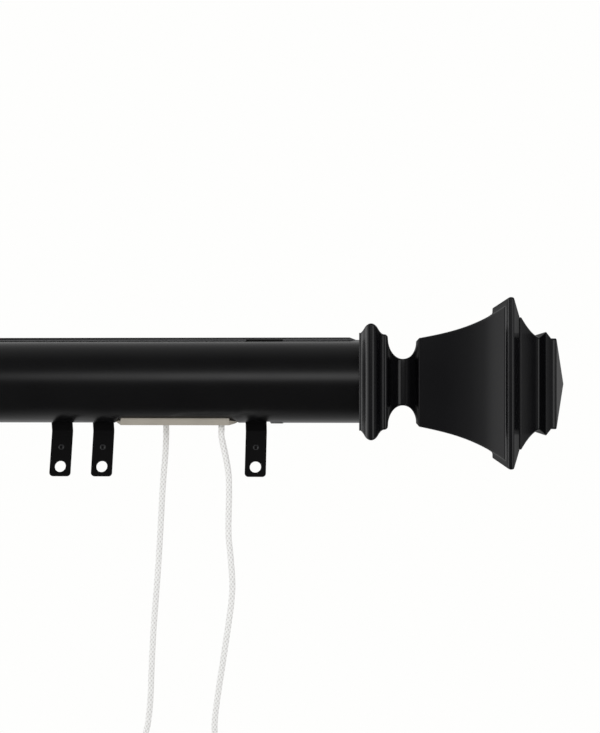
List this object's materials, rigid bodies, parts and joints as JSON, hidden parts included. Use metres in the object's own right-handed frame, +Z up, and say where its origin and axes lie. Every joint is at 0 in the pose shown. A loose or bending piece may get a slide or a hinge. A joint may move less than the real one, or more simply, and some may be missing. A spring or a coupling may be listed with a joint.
{
  "type": "corded curtain track",
  "caption": "Black slotted curtain rod with square flared finials, swinging hooks on hidden sliders, a pulley block and an endless draw cord.",
  "frame": {"origin": "middle of the bracket rail's flat top face, halfway along the rod", "axes": "+X along the rod towards the end with the pulley block, +Y towards the wall, +Z up"},
  "size_m": [0.8948, 0.073, 0.3064],
  "materials": {
    "black_coat": "semi-gloss black powder coat",
    "black_finial": "cast resin, semi-gloss black lacquer",
    "hook_steel": "satin black enamel on sheet steel",
    "beige_plastic": "moulded beige-grey ABS",
    "white_nylon": "moulded natural nylon",
    "black_nylon": "moulded black nylon",
    "zinc_steel": "bright zinc plate",
    "brass": "plain",
    "white_cord": "braided white polyester",
    "cord_tie": "woven tape"
  },
  "bodies": {
    "rod": {"rod_tube": "black_coat", "bracket_rail": "black_coat", "rail_rivets": "black_coat", "finial_right": "black_finial", "finial_left": "black_finial", "finial_stud_right": "zinc_steel", "finial_stud_left": "zinc_steel", "end_plug_right": "black_nylon", "end_plug_left": "black_nylon", "pulley_housing": "beige_plastic", "saddle_plate": "beige_plastic", "plate_screws": "zinc_steel", "rear_axle": "zinc_steel", "front_axle": "zinc_steel", "return_fork": "beige_plastic", "return_axle": "zinc_steel", "end_stop_right": "black_nylon", "end_pin_right": "zinc_steel", "end_stop_left": "black_nylon", "end_pin_left": "zinc_steel", "cord_run": "white_cord", "cord_fall_left": "white_cord", "cord_fall_right": "white_cord", "cord_hank": "white_cord", "cord_tie": "cord_tie"},
    "rear_pulley": {"rear_pulley": "white_nylon"},
    "front_pulley": {"front_pulley": "white_nylon"},
    "return_pulley": {"return_pulley": "white_nylon"},
    "right_carrier_1": {"slider_right_1": "white_nylon", "pin_right_1": "zinc_steel"},
    "right_carrier_2": {"slider_right_2": "white_nylon", "pin_right_2": "zinc_steel"},
    "right_master": {"master_slider_right": "white_nylon", "master_pin_right": "zinc_steel", "cord_ferrule_right": "brass"},
    "left_carrier_1": {"slider_left_1": "white_nylon", "pin_left_1": "zinc_steel"},
    "left_carrier_2": {"slider_left_2": "white_nylon", "pin_left_2": "zinc_steel"},
    "left_master": {"master_slider_left": "white_nylon", "master_pin_left": "zinc_steel", "cord_ferrule_left": "brass"},
    "right_end_hook": {"end_hook_right": "hook_steel"},
    "right_hook_1": {"hook_right_1": "hook_steel"},
    "right_hook_2": {"hook_right_2": "hook_steel"},
    "right_master_hook": {"master_hook_right": "hook_steel"},
    "left_end_hook": {"end_hook_left": "hook_steel"},
    "left_hook_1": {"hook_left_1": "hook_steel"},
    "left_hook_2": {"hook_left_2": "hook_steel"},
    "left_master_hook": {"master_hook_left": "hook_steel"}
  },
  "joints": [
    {"name": "draw", "type": "slide", "parent": "rod", "child": "right_master", "axis": [1, 0, 0], "range_m": [-0.149, 0]},
    {"name": "draw_left", "type": "slide", "parent": "rod", "child": "left_master", "axis": [1, 0, 0], "range_m": [0, 0.149]},
    {"name": "slide_right_1", "type": "slide", "parent": "rod", "child": "right_carrier_1", "axis": [1, 0, 0], "range_m": [-0.0298, 0]},
    {"name": "slide_left_1", "type": "slide", "parent": "rod", "child": "left_carrier_1", "axis": [1, 0, 0], "range_m": [0, 0.0298]},
    {"name": "slide_right_2", "type": "slide", "parent": "rod", "child": "right_carrier_2", "axis": [1, 0, 0], "range_m": [-0.1043, 0]},
    {"name": "slide_left_2", "type": "slide", "parent": "rod", "child": "left_carrier_2", "axis": [1, 0, 0], "range_m": [0, 0.1043]},
    {"name": "front_pulley_turn", "type": "hinge", "parent": "rod", "child": "front_pulley", "pos_m": [0.287, -0.005, -0.02705], "axis": [0, 1, 0], "range_deg": [-1466, 0]},
    {"name": "rear_pulley_turn", "type": "hinge", "parent": "rod", "child": "rear_pulley", "pos_m": [0.26, 0.005, -0.02705], "axis": [0, 1, 0], "range_deg": [0, 1466]},
    {"name": "return_pulley_turn", "type": "hinge", "parent": "rod", "child": "return_pulley", "pos_m": [-0.3306, 0, -0.02105], "axis": [0, 0, 1], "range_deg": [-1759, 0]},
    {"name": "swing_right_end_hook", "type": "hinge", "parent": "rod", "child": "right_end_hook", "pos_m": [0.3081, 0, -0.0346], "axis": [1, 0, 0], "range_deg": [-40, 15]},
    {"name": "swing_right_hook_1", "type": "hinge", "parent": "right_carrier_1", "child": "right_hook_1", "pos_m": [0.2376, 0, -0.0346], "axis": [1, 0, 0], "range_deg": [-40, 15]},
    {"name": "swing_right_hook_2", "type": "hinge", "parent": "right_carrier_2", "child": "right_hook_2", "pos_m": [0.2184, 0, -0.0346], "axis": [1, 0, 0], "range_deg": [-40, 15]},
    {"name": "swing_right_master_hook", "type": "hinge", "parent": "right_master", "child": "right_master_hook", "pos_m": [0.1644, 0, -0.0346], "axis": [1, 0, 0], "range_deg": [-40, 15]},
    {"name": "swing_left_end_hook", "type": "hinge", "parent": "rod", "child": "left_end_hook", "pos_m": [-0.3081, 0, -0.0346], "axis": [1, 0, 0], "range_deg": [-40, 15]},
    {"name": "swing_left_hook_1", "type": "hinge", "parent": "left_carrier_1", "child": "left_hook_1", "pos_m": [-0.2376, 0, -0.0346], "axis": [1, 0, 0], "range_deg": [-40, 15]},
    {"name": "swing_left_hook_2", "type": "hinge", "parent": "left_carrier_2", "child": "left_hook_2", "pos_m": [-0.2184, 0, -0.0346], "axis": [1, 0, 0], "range_deg": [-40, 15]},
    {"name": "swing_left_master_hook", "type": "hinge", "parent": "left_master", "child": "left_master_hook", "pos_m": [-0.1644, 0, -0.0346], "axis": [1, 0, 0], "range_deg": [-40, 15]}
  ],
  "couplings": [
    {"joint": "draw_left", "follows": "draw", "ratio": -1},
    {"joint": "slide_right_1", "follows": "draw", "ratio": 0.2},
    {"joint": "slide_left_1", "follows": "draw", "ratio": -0.2},
    {"joint": "slide_right_2", "follows": "draw", "ratio": 0.7},
    {"joint": "slide_left_2", "follows": "draw", "ratio": -0.7},
    {"joint": "front_pulley_turn", "follows": "draw", "rad_per_m": 166.67},
    {"joint": "rear_pulley_turn", "follows": "draw", "rad_per_m": -166.67},
    {"joint": "return_pulley_turn", "follows": "draw", "rad_per_m": 200}
  ]
}
